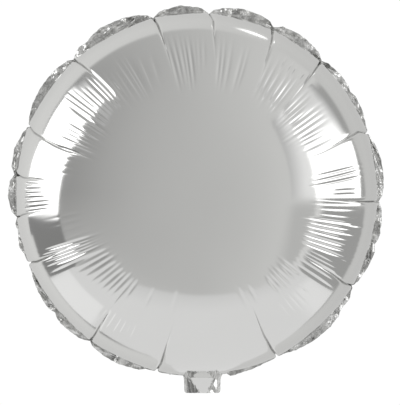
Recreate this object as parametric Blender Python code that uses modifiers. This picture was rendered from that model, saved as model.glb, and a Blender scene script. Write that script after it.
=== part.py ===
"""Round silver foil balloon, blown up: two foil sheets welded together round the rim, with a short filling neck.

Metres, +Z up. The balloon hangs upright: its sheets lie along X and Z, and its front faces -Y.
The origin is the middle of the gas chamber, where the gas holds the balloon up.
"""

import math

import bmesh
import bpy
from mathutils import Vector

MM = 0.001

# The gas chamber, while it is still flat: the 18 inch disc inside the weld.
FLAT_CHAMBER_DIAMETER = 457 * MM
FOIL_WALL = 1.0 * MM
GAP = 0.3 * MM  # between pieces that rest on each other

# A sealed disc of film that can't stretch is drawn in to this share of its flat radius.
INFLATED_SHARE = 0.7627
RIM_RADIUS = INFLATED_SHARE * FLAT_CHAMBER_DIAMETER / 2
LONGER_BELOW = 0.0105  # the chamber reaches this share further down at the neck, and less far up

# Slope of each sheet, in degrees, at the rings from the flat crown out to the rim.
RING_SLOPES = (0.8, 5, 12, 20, 28, 37, 47, 58, 70, 81, 90)

# The gathered rim, seen from the front: each fold's angle from +X in degrees, the radius of the
# weld's edge there, and that radius at the tip of the lobe that follows, both in millimetres.
LOBES = (
    (19.0, 171.8, 179.0),
    (46.3, 174.0, 181.2),
    (65.0, 174.7, 181.4),
    (86.0, 171.6, 179.7),
    (104.0, 172.0, 182.6),
    (133.0, 173.8, 180.5),
    (158.5, 171.8, 180.0),
    (174.5, 175.7, 181.4),
    (188.0, 174.2, 178.8),
    (203.0, 172.4, 181.7),
    (234.5, 176.2, 181.6),
    (257.5, 173.9, 180.0),
    (296.0, 172.7, 182.6),
    (329.0, 174.2, 181.2),
    (357.0, 175.4, 180.3),
)
LOBE_ROUNDNESS = 0.5  # under 1 makes the lobes full and the notches between them sharp
CREASE_START = 0.6  # share of the radius where the folds begin
FOLD_DEPTH = 5.0 * MM  # how far each fold nips in the sheets' rim
FOLD_REACH = 5.0 * MM  # how far beside it that fades to a third
TONGUE = 3.5 * MM  # weld that reaches in between the sheets' rims
WELD_THICKNESS = 1.0 * MM
LEAST_FLANGE = 1.5 * MM  # the least that the weld stands out past the sheets' rim
RUFFLE = 1.8 * MM

# Places where only the welded edge is nicked, between the notches.
WELD_KINKS = (33.0, 126.0, 192.0, 220.5, 321.0, 343.5)
KINK_DEPTH = 3.0 * MM
KINK_HALF_ANGLE = 1.5

# The filling neck, a little to the right of the middle.
NECK_X = 5.5 * MM
NECK_HALF_WIDTH = 17.5 * MM
NECK_MOUTH_Z = -193.0 * MM
NECK_TOP_Z = -165.0 * MM
CHANNEL_HALF_WIDTH = 11.0 * MM
CHANNEL_MARGIN = 1.0 * MM  # each neck sheet's edge that lies on a side weld
CHANNEL_RISE_TOP = 7.0 * MM
CHANNEL_RISE_MOUTH = 1.0 * MM
CHANNEL_WIDTH_AT_MOUTH = 0.4  # share of its width at the rim
FILM_HALF_WIDTH = 8.5 * MM
FILM_THICKNESS = 0.6 * MM
SIDE_WELD_THICKNESS = 1.4 * MM
SIDE_WELD_TOP_Z = -178.5 * MM
MOUTH_CORNER = 2.5 * MM

COLUMN_SPACING = 4.0  # degrees between mesh columns, away from the neck
NECK_COLUMNS = 12
LIP_EASE = 0.75  # under 1 makes the lip's arch over the neck wider than the channel under it

LIP_HALF_GAP = WELD_THICKNESS / 2 + GAP
NECK_ANGLE = 270 + math.degrees(math.asin(NECK_X / RIM_RADIUS))
NECK_HALF_ANGLE = math.degrees(math.asin((NECK_HALF_WIDTH + GAP) / RIM_RADIUS))
NECK_SIDES = (NECK_ANGLE - NECK_HALF_ANGLE, NECK_ANGLE + NECK_HALF_ANGLE)


def clear_scene():
    for obj in list(bpy.data.objects):
        bpy.data.objects.remove(obj)


def material(name, colour, roughness, metallic):
    made = bpy.data.materials.new(name)
    made.use_nodes = True
    shader = made.node_tree.nodes["Principled BSDF"]
    shader.inputs["Base Color"].default_value = (*colour, 1)
    shader.inputs["Roughness"].default_value = roughness
    shader.inputs["Metallic"].default_value = metallic
    return made


def smooth_step(share):
    share = min(max(share, 0.0), 1.0)
    return share * share * (3 - 2 * share)


def place(obj, name, collection, finish):
    """Names the object, gives it its finish and puts it in the balloon's own collection."""
    obj.name = obj.data.name = name
    obj.data.materials.clear()
    obj.data.materials.append(finish)
    for old in list(obj.users_collection):
        old.objects.unlink(obj)
    collection.objects.link(obj)
    return obj


def evaluated_copy(obj):
    """A new mesh object with the modifiers of obj applied; obj is removed."""
    bpy.context.view_layer.update()
    graph = bpy.context.evaluated_depsgraph_get()
    mesh = bpy.data.meshes.new_from_object(obj.evaluated_get(graph))
    copy = bpy.data.objects.new(obj.name, mesh)
    bpy.context.scene.collection.objects.link(copy)
    bpy.data.objects.remove(obj)
    return copy


def weld_edge_radius(angle):
    """Radius of the weld's outer edge, following the notches and lobes but not the kinks."""
    following = LOBES[1:] + ((LOBES[0][0] + 360, *LOBES[0][1:]),)
    for (first, notch, tip), (last, next_notch, _) in zip(LOBES, following):
        share = ((angle - first) % 360) / (last - first)
        if share <= 1:
            base = notch + (next_notch - notch) * share
            rise = tip - (notch + next_notch) / 2
            return (base + rise * math.sin(math.pi * share) ** LOBE_ROUNDNESS) * MM
    return LOBES[0][1] * MM


def degrees_from(angle, places):
    """The angle's distance, in degrees, from the nearest of these places on the rim."""
    return min(abs((angle - place + 180) % 360 - 180) for place in places)


def rim_radius(angle):
    """Radius where the sheets' edges meet the weld: longer towards the neck, and nipped in at the folds."""
    aside = math.radians(degrees_from(angle, [lobe[0] for lobe in LOBES])) * RIM_RADIUS
    nip = FOLD_DEPTH * math.exp(-aside / FOLD_REACH)
    return RIM_RADIUS * (1 - LONGER_BELOW * math.sin(math.radians(angle))) - nip


def kink_depth(angle):
    """How far a kink draws in the weld's edge at this angle."""
    return KINK_DEPTH * math.exp(-((degrees_from(angle, WELD_KINKS) / KINK_HALF_ANGLE) ** 2))


def ruffle(angle):
    """How far the weld's edge leans to the back at this angle: forward in one lobe, back in the next."""
    count = sum(1 for first, _, _ in LOBES if first <= angle % 360)
    return RUFFLE * (-1) ** count * abs(math.sin(math.radians(angle) * 7.5))


def column_angles():
    """Angles of the mesh columns: one on each notch, kink and side of the neck, closest beside them."""
    stops = sorted([first for first, _, _ in LOBES] + list(WELD_KINKS) + list(NECK_SIDES))
    angles = []
    for first, last in zip(stops, stops[1:] + [stops[0] + 360]):
        width = last - first
        if first == NECK_SIDES[0]:
            angles += [first + width * i / NECK_COLUMNS for i in range(NECK_COLUMNS)]
            continue
        count = 2 * max(1, round(width / (2 * COLUMN_SPACING)))
        shares = [0.5 - 0.5 * math.cos(math.pi * i / count) for i in range(count)]
        angles += [first + width * share for share in shares]
    return angles


COLUMNS = column_angles()


def turned(profile):
    """The profile, points of radius and Y, turned about the Y axis into one surface with a column for each angle."""
    mesh = bpy.data.meshes.new("profile")
    edges = [(i, i + 1) for i in range(len(profile) - 1)]
    mesh.from_pydata([(radius, y, 0) for radius, y in profile], edges, [])
    obj = bpy.data.objects.new("profile", mesh)
    bpy.context.scene.collection.objects.link(obj)
    screw = obj.modifiers.new("turn", "SCREW")
    screw.axis = "Y"
    screw.steps = screw.render_steps = len(COLUMNS)
    screw.use_merge_vertices = True
    screw.merge_threshold = 0.00001
    return evaluated_copy(obj)


def gather(obj, moved):
    """Turns each column to its own angle, then puts each point where moved(angle, radius, y) says, as radius and y."""
    step = 360 / len(COLUMNS)
    for vertex in obj.data.vertices:
        x, y, z = vertex.co
        radius = math.hypot(x, z)
        column = round(math.degrees(math.atan2(z, x)) / step) % len(COLUMNS)
        angle = COLUMNS[column]
        radius, y = moved(angle, radius, y)
        direction = math.radians(angle)
        vertex.co = (radius * math.cos(direction), y, radius * math.sin(direction))


def face_outwards(obj, outward):
    """Flips the faces of an open surface if its first face looks away from the outward direction."""
    surface = bmesh.new()
    surface.from_mesh(obj.data)
    bmesh.ops.recalc_face_normals(surface, faces=surface.faces)
    widest = max(surface.faces, key=lambda face: abs(face.normal.dot(outward)))
    if widest.normal.dot(outward) < 0:
        bmesh.ops.reverse_faces(surface, faces=surface.faces)
    surface.to_mesh(obj.data)
    surface.free()


def thicken(obj, thickness, offset):
    """Makes the open surface a wall. Offset -1 puts the wall behind the surface and 0 puts half on each side."""
    wall = obj.modifiers.new("wall", "SOLIDIFY")
    wall.thickness = thickness
    wall.offset = offset


def channel_rise(x, z):
    """How far the neck's channel bulges at this distance from its middle: a half cone that narrows to the mouth."""
    rim_z = -RIM_RADIUS
    share = min(max((rim_z - z) / (rim_z - NECK_MOUTH_Z), 0.0), 1.0)
    rise = CHANNEL_RISE_TOP + (CHANNEL_RISE_MOUTH - CHANNEL_RISE_TOP) * share
    half_width = CHANNEL_HALF_WIDTH * (1 + (CHANNEL_WIDTH_AT_MOUTH - 1) * share)
    across = min(abs(x) / half_width, 1.0)
    return rise * math.cos(math.pi / 2 * across) ** 2


def lip_lift(angle):
    """How far a sheet's lip rises off the weld's plane to pass over the neck's channel."""
    x = RIM_RADIUS * math.sin(math.radians(angle - NECK_ANGLE))
    if degrees_from(angle, [NECK_ANGLE]) > NECK_HALF_ANGLE + 1e-6:
        return 0.0
    sheet_edge = CHANNEL_HALF_WIDTH + CHANNEL_MARGIN
    shoulder = 1 - smooth_step((abs(x) - sheet_edge) / (NECK_HALF_WIDTH - sheet_edge))
    over_sheet = FILM_THICKNESS / 2 + GAP + FOIL_WALL + 2 * GAP - LIP_HALF_GAP
    return over_sheet * shoulder + channel_rise(LIP_EASE * x, -RIM_RADIUS)


def profile_height(slope):
    """Height of the ideal gas-filled film over the rim's plane where its slope is this many degrees."""
    steps = 200
    low, high = math.radians(slope), math.pi / 2
    width = (high - low) / steps
    middles = [low + width * (i + 0.5) for i in range(steps)]
    return RIM_RADIUS / 2 * sum(math.sqrt(math.sin(a)) for a in middles) * width


def foil_sheet(name, side, collection, finish):
    """One foil sheet: a dome of revolution, gathered into lobes towards the rim. Side is -1 at the front, 1 at the back."""
    profile = [(RIM_RADIUS * math.sqrt(math.sin(math.radians(s))), profile_height(s)) for s in RING_SLOPES]
    profile.insert(0, (0.0, profile[0][1]))
    obj = turned([(radius, side * (height + LIP_HALF_GAP)) for radius, height in profile])

    def moved(angle, radius, y):
        share = radius / RIM_RADIUS
        slope = math.asin(min(share**2, 1.0))
        crease = smooth_step((share - CREASE_START) / (1 - CREASE_START))
        out = (rim_radius(angle) - RIM_RADIUS) * crease
        lift = lip_lift(angle) * smooth_step((share - 0.85) / 0.15)
        return radius + out * math.sin(slope), y + side * (out * math.cos(slope) + lift)

    gather(obj, moved)
    face_outwards(obj, Vector((0, side, 0)))
    thicken(obj, FOIL_WALL, -1)
    return place(obj, name, collection, finish)


def rim_weld(collection, finish):
    """The two sheets' edges welded into one band, which stands out past the rim and is open where the neck passes."""
    obj = turned([(RIM_RADIUS - TONGUE, 0), (RIM_RADIUS, 0), (RIM_RADIUS + TONGUE, 0)])

    def moved(angle, radius, y):
        rim = rim_radius(angle)
        if radius < RIM_RADIUS + TONGUE / 2:
            return radius + rim - RIM_RADIUS, y
        edge = weld_edge_radius(angle) - kink_depth(angle)
        return max(edge, rim + LEAST_FLANGE), ruffle(angle)

    gather(obj, moved)
    square_ends_at_neck(obj)
    face_outwards(obj, Vector((0, -1, 0)))
    thicken(obj, WELD_THICKNESS, 0)
    return place(obj, name="rim_seam", collection=collection, finish=finish)


def square_ends_at_neck(obj):
    """Opens the band where the neck passes, and makes its two ends parallel to the neck's sides."""
    surface = bmesh.new()
    surface.from_mesh(obj.data)
    reach = NECK_HALF_WIDTH + GAP
    in_neck = []
    for face in surface.faces:
        middle = face.calc_center_median()
        if middle.z < 0 and abs(middle.x - NECK_X) < reach:
            in_neck.append(face)
    bmesh.ops.delete(surface, geom=in_neck, context="FACES")
    for vertex in surface.verts:
        radius = math.hypot(vertex.co.x, vertex.co.z)
        from_neck = vertex.co.x - NECK_X
        if vertex.co.z < 0 and abs(abs(from_neck) - reach) < 2 * MM:
            vertex.co.x = NECK_X + math.copysign(reach, from_neck)
            vertex.co.z = -math.sqrt(radius**2 - vertex.co.x**2)
            vertex.co.y = 0
    surface.to_mesh(obj.data)
    surface.free()


def neck_sheet(name, side, collection, finish):
    """The tab of one foil sheet that makes half of the neck, with the channel's half cone down its middle."""
    bpy.ops.mesh.primitive_grid_add(x_subdivisions=10, y_subdivisions=5, size=1)
    obj = bpy.context.object
    half_width = CHANNEL_HALF_WIDTH + CHANNEL_MARGIN
    inner = FILM_THICKNESS / 2 + GAP
    for vertex in obj.data.vertices:
        x = vertex.co.x * 2 * half_width
        z = NECK_MOUTH_Z + (vertex.co.y + 0.5) * (NECK_TOP_Z - NECK_MOUTH_Z)
        vertex.co = (NECK_X + x, side * (inner + channel_rise(x, z)), z)
    face_outwards(obj, Vector((0, side, 0)))
    thicken(obj, FOIL_WALL, 1)
    return place(obj, name, collection, finish)


def box(low, high):
    """A plain box between two corners."""
    bpy.ops.mesh.primitive_cube_add(size=1)
    obj = bpy.context.object
    low, high = Vector(low), Vector(high)
    for vertex in obj.data.vertices:
        vertex.co = [low[i] + (vertex.co[i] + 0.5) * (high[i] - low[i]) for i in range(3)]
    return obj


def side_weld(name, hand, collection, finish):
    """One side weld of the neck: a thin tongue between the sheets, and the flat tab that stands out beside them."""
    tongue_half = FILM_THICKNESS / 2
    tab_half = SIDE_WELD_THICKNESS / 2
    inner = CHANNEL_HALF_WIDTH + CHANNEL_MARGIN + 2 * GAP
    tongue_x = sorted(NECK_X + hand * x for x in (FILM_HALF_WIDTH + GAP, NECK_HALF_WIDTH - 1 * MM))
    tab_x = sorted(NECK_X + hand * x for x in (inner, NECK_HALF_WIDTH))
    tongue = box((tongue_x[0], -tongue_half, NECK_MOUTH_Z + 1 * MM), (tongue_x[1], tongue_half, NECK_TOP_Z))
    tab = box((tab_x[0], -tab_half, NECK_MOUTH_Z), (tab_x[1], tab_half, SIDE_WELD_TOP_Z))
    round_mouth_corner(tab, NECK_X + hand * NECK_HALF_WIDTH)
    join = tongue.modifiers.new("join", "BOOLEAN")
    join.operation = "UNION"
    join.object = tab
    joined = evaluated_copy(tongue)
    bpy.data.objects.remove(tab)
    return place(joined, name, collection, finish)


def round_mouth_corner(tab, outer_x):
    """Rounds the tab's lower outer corner."""
    shape = bmesh.new()
    shape.from_mesh(tab.data)
    corner = [
        edge
        for edge in shape.edges
        if all(abs(v.co.x - outer_x) < 1e-6 and abs(v.co.z - NECK_MOUTH_Z) < 1e-6 for v in edge.verts)
    ]
    bmesh.ops.bevel(shape, geom=corner, offset=MOUTH_CORNER, segments=3, profile=0.5, affect="EDGES")
    shape.to_mesh(tab.data)
    shape.free()


def valve_film(collection, finish):
    """The self-sealing valve's two plastic films, pressed flat between the neck's sheets."""
    obj = box(
        (NECK_X - FILM_HALF_WIDTH, -FILM_THICKNESS / 2, NECK_MOUTH_Z + 0.5 * MM),
        (NECK_X + FILM_HALF_WIDTH, FILM_THICKNESS / 2, NECK_TOP_Z + 4 * MM),
    )
    return place(obj, "valve_film", collection, finish)


def build():
    clear_scene()
    balloon = bpy.data.collections.new("foil_balloon")
    bpy.context.scene.collection.children.link(balloon)
    foil = material("silver_foil", (0.78, 0.78, 0.77), 0.14, 1.0)
    welded_foil = material("welded_foil", (0.66, 0.66, 0.65), 0.28, 1.0)
    clear_film = material("clear_film", (0.85, 0.86, 0.85), 0.3, 0.0)
    foil_sheet("front_panel", -1, balloon, foil)
    foil_sheet("back_panel", 1, balloon, foil)
    rim_weld(balloon, welded_foil)
    neck_sheet("neck_front", -1, balloon, foil)
    neck_sheet("neck_back", 1, balloon, foil)
    side_weld("neck_seam_left", -1, balloon, welded_foil)
    side_weld("neck_seam_right", 1, balloon, welded_foil)
    valve_film(balloon, clear_film)


build()
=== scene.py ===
# %% [markdown]
# # A round foil balloon
#
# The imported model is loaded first. Its solids are the frame: they say where the two foil sheets,
# the rim weld, the neck and the valve film are, and how large. This file dresses them with the
# thin, creased film that the real balloon is made of, and lights it as a small product studio.

# %% Load the frame
import math

import bpy
import numpy as np
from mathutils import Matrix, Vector


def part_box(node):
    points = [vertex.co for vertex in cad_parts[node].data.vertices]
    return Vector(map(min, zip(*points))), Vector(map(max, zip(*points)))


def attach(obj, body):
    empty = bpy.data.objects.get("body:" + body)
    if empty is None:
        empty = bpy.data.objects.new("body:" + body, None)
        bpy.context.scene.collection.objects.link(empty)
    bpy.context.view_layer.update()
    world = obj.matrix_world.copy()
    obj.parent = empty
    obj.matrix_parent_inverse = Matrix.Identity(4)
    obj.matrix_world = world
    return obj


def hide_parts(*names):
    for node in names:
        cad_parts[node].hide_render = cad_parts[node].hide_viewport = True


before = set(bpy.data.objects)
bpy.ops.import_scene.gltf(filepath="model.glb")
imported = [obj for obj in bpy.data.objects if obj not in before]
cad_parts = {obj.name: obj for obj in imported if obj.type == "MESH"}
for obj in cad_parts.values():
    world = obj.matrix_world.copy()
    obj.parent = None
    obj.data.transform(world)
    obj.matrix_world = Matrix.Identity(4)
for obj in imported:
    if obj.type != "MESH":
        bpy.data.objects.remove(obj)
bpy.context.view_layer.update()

# %% [markdown]
# ## Sizes
#
# A few sizes come from the solids. The rim radius is half the width of the front sheet, and the
# neck's edges are those of its own solids. Everything else hangs on them. Angles are in degrees
# round the front, from +X and turning up, as they would be read off a photograph of the front.

# %% Sizes from the frame
MM = 0.001
FRONT, BACK = -1, 1

sheet_low, sheet_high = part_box("front_panel")
RIM = (sheet_high.x - sheet_low.x) / 2
LONGER_BELOW = 0.0105  # the chamber reaches this share further down at the neck, and less far up

left_low, left_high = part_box("neck_seam_left")
right_low, right_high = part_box("neck_seam_right")
NECK_X = (left_low.x + right_high.x) / 2
NECK_HALF_WIDTH = (right_high.x - left_low.x) / 2
SIDE_WELD_WIDTH = 2.6 * MM  # how much of each side weld shows beside the tab
TAB_HALF_WIDTH = NECK_HALF_WIDTH - SIDE_WELD_WIDTH
MOUTH_Z = left_low.z
print(f"rim radius {RIM / MM:.1f} mm, neck {2 * NECK_HALF_WIDTH / MM:.1f} mm wide at x {NECK_X / MM:.1f} mm")


# %% [markdown]
# ## Shader maths as plain expressions
#
# A node tree is easier to read as a formula. `Socket` wraps one output of a node and overloads
# the arithmetic operators, so `1 - mask * 0.5` adds the two Math nodes that it needs. `Tree.node`
# makes any other node: its settings first, then the values or links of its inputs.

# %% The socket class
class Socket:
    """One output of a shader node, on which arithmetic adds Math nodes."""

    def __init__(self, tree, output):
        self.tree = tree
        self.output = output

    def math(self, operation, *values):
        return self.tree.node("ShaderNodeMath", {"operation": operation}, dict(enumerate(values)))

    def __add__(self, other):
        return self.math("ADD", self, other)

    def __radd__(self, other):
        return self.math("ADD", other, self)

    def __sub__(self, other):
        return self.math("SUBTRACT", self, other)

    def __rsub__(self, other):
        return self.math("SUBTRACT", other, self)

    def __mul__(self, other):
        return self.math("MULTIPLY", self, other)

    def __rmul__(self, other):
        return self.math("MULTIPLY", other, self)

    def __truediv__(self, other):
        return self.math("DIVIDE", self, other)

    def __rtruediv__(self, other):
        return self.math("DIVIDE", other, self)

    def clamped(self):
        return self.math("MINIMUM", self.math("MAXIMUM", self, 0.0), 1.0)


class Tree:
    """A node tree that is filled with plain calls."""

    def __init__(self, owner):
        owner.use_nodes = True
        self.nodes = owner.node_tree.nodes
        self.links = owner.node_tree.links
        self.nodes.clear()

    def node(self, kind, settings=None, values=None, output=0):
        """Adds a node, changes its settings, then fills its inputs with values or links."""
        made = self.nodes.new(kind)
        for name, value in (settings or {}).items():
            if name == "stops":
                self.set_stops(made.color_ramp, value)
            else:
                setattr(made, name, value)
        for name, value in (values or {}).items():
            if isinstance(value, Socket):
                self.links.new(value.output, made.inputs[name])
            else:
                made.inputs[name].default_value = value
        return Socket(self, made.outputs[output]) if made.outputs else None

    @staticmethod
    def set_stops(ramp, stops):
        """Gives a colour ramp these (position, grey) stops."""
        while len(ramp.elements) < len(stops):
            ramp.elements.new(0.5)
        for element, (position, grey) in zip(ramp.elements, stops):
            element.position = position
            element.color = (grey, grey, grey, 1)

    def mix(self, share, first, second):
        """Blends two colours."""
        settings = {"data_type": "RGBA", "clamp_factor": True}
        return self.node("ShaderNodeMix", settings, {0: share, 6: first, 7: second}, output=2)

    def noise(self, scale, detail=3.0, roughness=0.5, seed_shift=(0, 0, 0)):
        """Smooth noise in the object's own space, 0 to 1. Scale is in features for each metre."""
        place = self.node("ShaderNodeTexCoord", output=3)
        place = self.node("ShaderNodeVectorMath", {"operation": "ADD"}, {0: place, 1: seed_shift})
        values = {"Vector": place, "Scale": scale, "Detail": detail, "Roughness": roughness}
        return self.node("ShaderNodeTexNoise", {"noise_dimensions": "3D"}, values)


# %% [markdown]
# ## The foil
#
# The film is plastic with a few hundredths of a micron of aluminium on it, so it is a mirror a
# little darker than a silvered one. A metallic Principled shader does it. Drawn film is never
# evenly bright: broad clouds of haze change its roughness, and a faint unevenness of the film
# bends what it mirrors. Both are noise in the object's own space, so they stay on the balloon.
# Deep in a fold the film lies on itself and keeps the light out. The mesh carries that as a number
# at each point, and the colour darkens with it: painted shade, in the folds and on the neck's left
# flank. A second number lightens the colour at the dome's foot over the neck: painted light, where
# the film mirrors the neck itself and would come out too dark.

# %% The foil material
FOIL_GREY = (0.78, 0.78, 0.77)
WELD_GREYS = ((0.36, 0.36, 0.355), (0.86, 0.86, 0.85))  # the dullest and the brightest
NECK_WELD_GREYS = ((0.70, 0.70, 0.69), (0.97, 0.97, 0.96))


def foil_material():
    made = bpy.data.materials.new("silver_foil")
    tree = Tree(made)
    clouds = tree.noise(14, detail=4)
    streaks = tree.noise(90, detail=2, seed_shift=(3, 1, 2))
    haze = 0.085 + clouds * 0.035 + streaks * 0.01
    darker = tuple(channel * 0.95 for channel in FOIL_GREY)
    colour = tree.mix(clouds, (*darker, 1), (*FOIL_GREY, 1))
    # Painted shade: a number on the mesh darkens the colour in the folds and on the neck's left flank.
    in_fold = tree.node("ShaderNodeAttribute", {"attribute_name": "in_fold"}, output=2)
    shut_shade = tuple(channel * 0.34 for channel in FOIL_GREY)
    colour = tree.mix(in_fold, colour, (*shut_shade, 1))
    # Painted light: a second number lightens the colour at the dome's foot over the neck.
    lifted = tree.node("ShaderNodeAttribute", {"attribute_name": "lifted"}, output=2)
    painted_light_grey = tuple(channel * 1.07 for channel in FOIL_GREY)
    colour = tree.mix(lifted, colour, (*painted_light_grey, 1))
    waviness = tree.noise(55, detail=2, seed_shift=(7, 5, 1))
    values = {"Strength": 0.06, "Distance": 0.4 * MM, "Height": waviness}
    normal = tree.node("ShaderNodeBump", {}, values)
    shader = tree.node(
        "ShaderNodeBsdfPrincipled",
        {},
        {"Base Color": colour, "Roughness": haze, "Metallic": 1.0, "Normal": normal},
    )
    tree.node("ShaderNodeOutputMaterial", {}, {"Surface": shader})
    return made


FOIL = foil_material()
print("made", FOIL.name)

# %% [markdown]
# ## The welded foil
#
# The heat bar presses the rim of the two sheets together and leaves it crinkled like a sweet
# wrapper: duller than the blown-up film, and broken into small facets. The larger crinkles are
# real geometry, further down. The smallest facets are a cell pattern in the bump. The weld beside
# the neck is pressed flatter and keeps more of its shine, so it has lighter greys of its own.

# %% The welded foil material
def weld_material(name, greys):
    made = bpy.data.materials.new(name)
    tree = Tree(made)
    place = tree.node("ShaderNodeTexCoord", output=3)
    wander = tree.node("ShaderNodeTexNoise", {}, {"Vector": place, "Scale": 160.0}, output=1)
    settings = {"operation": "MULTIPLY_ADD"}
    bent = tree.node("ShaderNodeVectorMath", settings, {0: wander, 1: (0.004, 0.004, 0.004), 2: place})
    cells = tree.node("ShaderNodeTexVoronoi", {"feature": "F1"}, {"Vector": bent, "Scale": 420.0})
    fine = tree.noise(900, detail=2)
    values = {"Strength": 0.5, "Distance": 0.5 * MM, "Height": cells + fine * 0.2}
    normal = tree.node("ShaderNodeBump", {}, values)
    patches = ((tree.noise(130, seed_shift=(1, 4, 2)) - 0.38) * 4).clamped()
    speckle = ((tree.noise(800, detail=1, seed_shift=(6, 0, 3)) - 0.4) * 5).clamped()
    colour = tree.mix(patches * 0.7 + speckle * 0.3, (*greys[0], 1), (*greys[1], 1))
    rough = 0.10 + 0.18 * tree.noise(240, seed_shift=(5, 2, 8))
    shader = tree.node(
        "ShaderNodeBsdfPrincipled",
        {},
        {"Base Color": colour, "Roughness": rough, "Metallic": 1.0, "Normal": normal},
    )
    tree.node("ShaderNodeOutputMaterial", {}, {"Surface": shader})
    return made


WELDED_FOIL = weld_material("welded_foil", WELD_GREYS)
NECK_WELDED_FOIL = weld_material("welded_foil_neck", NECK_WELD_GREYS)
print("made", WELDED_FOIL.name, "and", NECK_WELDED_FOIL.name)

# %% [markdown]
# ## The valve's film
#
# Inside the neck lie the two thin plastic films of the self-sealing valve. Unlike the foil they
# let light through. An alpha below one with a soft gloss gives a thin film without the cost of
# real refraction, and a little noise makes it slightly milky in places.

# %% The film material
def film_material():
    made = bpy.data.materials.new("clear_film")
    tree = Tree(made)
    milky = tree.noise(120, detail=2)
    shader = tree.node(
        "ShaderNodeBsdfPrincipled",
        {},
        {
            "Base Color": (0.85, 0.86, 0.85, 1),
            "Roughness": 0.22 + milky * 0.16,
            "Alpha": 0.35 + milky * 0.3,
            "IOR": 1.5,
        },
    )
    tree.node("ShaderNodeOutputMaterial", {}, {"Surface": shader})
    return made


CLEAR_FILM = film_material()
print("made", CLEAR_FILM.name)

# %% [markdown]
# ## The shape of a blown-up disc
#
# Two flat discs welded at the rim and filled with gas don't become a sphere. The film bends
# easily but can't stretch, and the shape that holds the most gas has a known profile: where the
# surface slopes by an angle t, its radius is the rim's times the root of sin t, and its height is
# half the rim's times the integral of that root from t to a right angle. The rim must shorten by
# nearly a quarter of its length to follow, and that is where the creases come from.

# %% The ideal profile
SLOPES = np.linspace(0, math.pi / 2, 4001)
SHARES = np.sqrt(np.sin(SLOPES))
steps = (SHARES[1:] + SHARES[:-1]) / 2 * (SLOPES[1] - SLOPES[0])
HEIGHTS = (np.sum(steps) - np.concatenate(([0], np.cumsum(steps)))) / 2
ARCS = np.concatenate(([0], np.cumsum(np.hypot(np.diff(SHARES), np.diff(HEIGHTS)))))
print(f"crown {HEIGHTS[0] * RIM / MM:.1f} mm over the rim, {ARCS[-1] * RIM / MM:.1f} mm along the film")


def smooth_step(share):
    share = np.clip(share, 0, 1)
    return share * share * (3 - 2 * share)


def rim_radius(angle):
    """Radius of the sheets' rim between the folds, in metres, at this angle in degrees."""
    return RIM * (1 - LONGER_BELOW * np.sin(np.radians(angle)))


# %% [markdown]
# ## The folds
#
# The spare film at the rim gathers in fifteen deep folds. Each one nips the rim in, runs up the
# side of the dome as a dark line, bends a little to one side and fades out. They could be
# sculpted by hand or left to a cloth simulation. Here each is a valley along a path, because the
# real ones stand at places that can be read off the photograph, and a formula repeats them
# exactly. A fold's row holds the angle where it meets the rim, how deep it is there, the share of
# the radius where it fades out, and how many degrees it has turned by 0.95, 0.85 and 0.70.

# %% The folds and their paths
FOLDS = (
    (19.0, 5.0, 0.56, (1.3, 0.2, -1.8)),
    (46.3, 4.0, 0.66, (-0.4, -1.3, -2.4)),
    (65.0, 5.0, 0.66, (-1.2, -2.5, -4.6)),
    (86.0, 4.6, 0.66, (-1.6, -2.4, -4.2)),
    (104.0, 5.2, 0.60, (-0.9, -1.6, -2.6)),
    (133.0, 4.6, 0.60, (-0.8, -1.6, -2.6)),
    (158.5, 4.6, 0.58, (1.5, 2.8, 4.4)),
    (174.5, 3.4, 0.76, (0.9, 1.2, 1.4)),
    (188.0, 3.6, 0.78, (-0.6, -0.8, -1.0)),
    (203.0, 5.2, 0.60, (0.7, 0.8, 0.4)),
    (234.5, 4.0, 0.64, (0.0, -0.6, -1.2)),
    (257.5, 5.2, 0.60, (0.9, 1.4, 2.5)),
    (296.0, 5.2, 0.58, (-0.5, -0.8, 0.0)),
    (329.0, 5.0, 0.60, (-0.8, -0.2, -0.4)),
    (357.0, 4.2, 0.64, (-0.3, -0.6, -1.0)),
)
FOLD_ANGLES = np.array([fold[0] for fold in FOLDS])
FOLD_WIDTH_RIM = 0.75 * MM
FOLD_WIDTH_END = 0.55 * MM
FOLD_ROUNDING = 0.12 * MM
FOLD_POWER = 2.6  # how quickly a fold deepens towards the rim
OVERLAP = 0.5 * MM  # one lip of a fold stands this much over the other
# The folds' dark lines are painted shade in the colour, this wide on each side of a fold.
PAINTED_SHADE_WIDTH = 0.42 * MM  # half width of the dark line where the film lies on itself


def nearest_turn(angle, place):
    """Degrees from place to angle, the short way round, with its sign."""
    return (angle - place + 180) % 360 - 180


def fold_path(turns, share):
    """How many degrees a fold has turned at each share of the radius."""
    return np.interp(share, (0.40, 0.70, 0.85, 0.95, 1.0), (turns[2] * 1.25, turns[2], turns[1], turns[0], 0))


def fold_valleys(share, angle, radius):
    """How far the folds press the film in at each point of the grid."""
    pressed = np.zeros(np.broadcast(share, angle).shape)
    for number, (place, depth, end, turns) in enumerate(FOLDS):
        grown = np.clip((share - end) / (1 - end), 0, 1)
        aside = np.radians(nearest_turn(angle, place + fold_path(turns, share))) * radius
        width = FOLD_WIDTH_END + (FOLD_WIDTH_RIM - FOLD_WIDTH_END) * grown
        away = np.sqrt(aside**2 + FOLD_ROUNDING**2) - FOLD_ROUNDING
        pressed += depth * MM * grown**FOLD_POWER * np.exp(-away / width)
        lip = aside / width * np.exp(-np.abs(aside) / width)
        pressed += OVERLAP * (-1) ** number * grown * lip
    return pressed


def fold_shade(share, angle, radius):
    """How much painted shade each point of the grid gets from the folds, 0 to 1."""
    shade = np.zeros(np.broadcast(share, angle).shape)
    for place, _, end, turns in FOLDS:
        shut_shade = smooth_step((share - end - 0.10) / (0.9 - end))
        aside = np.radians(nearest_turn(angle, place + fold_path(turns, share))) * radius
        shade = np.maximum(shade, 0.8 * shut_shade * np.exp(-((aside / PAINTED_SHADE_WIDTH) ** 2)))
    return shade


print(len(FOLDS), "folds")

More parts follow.
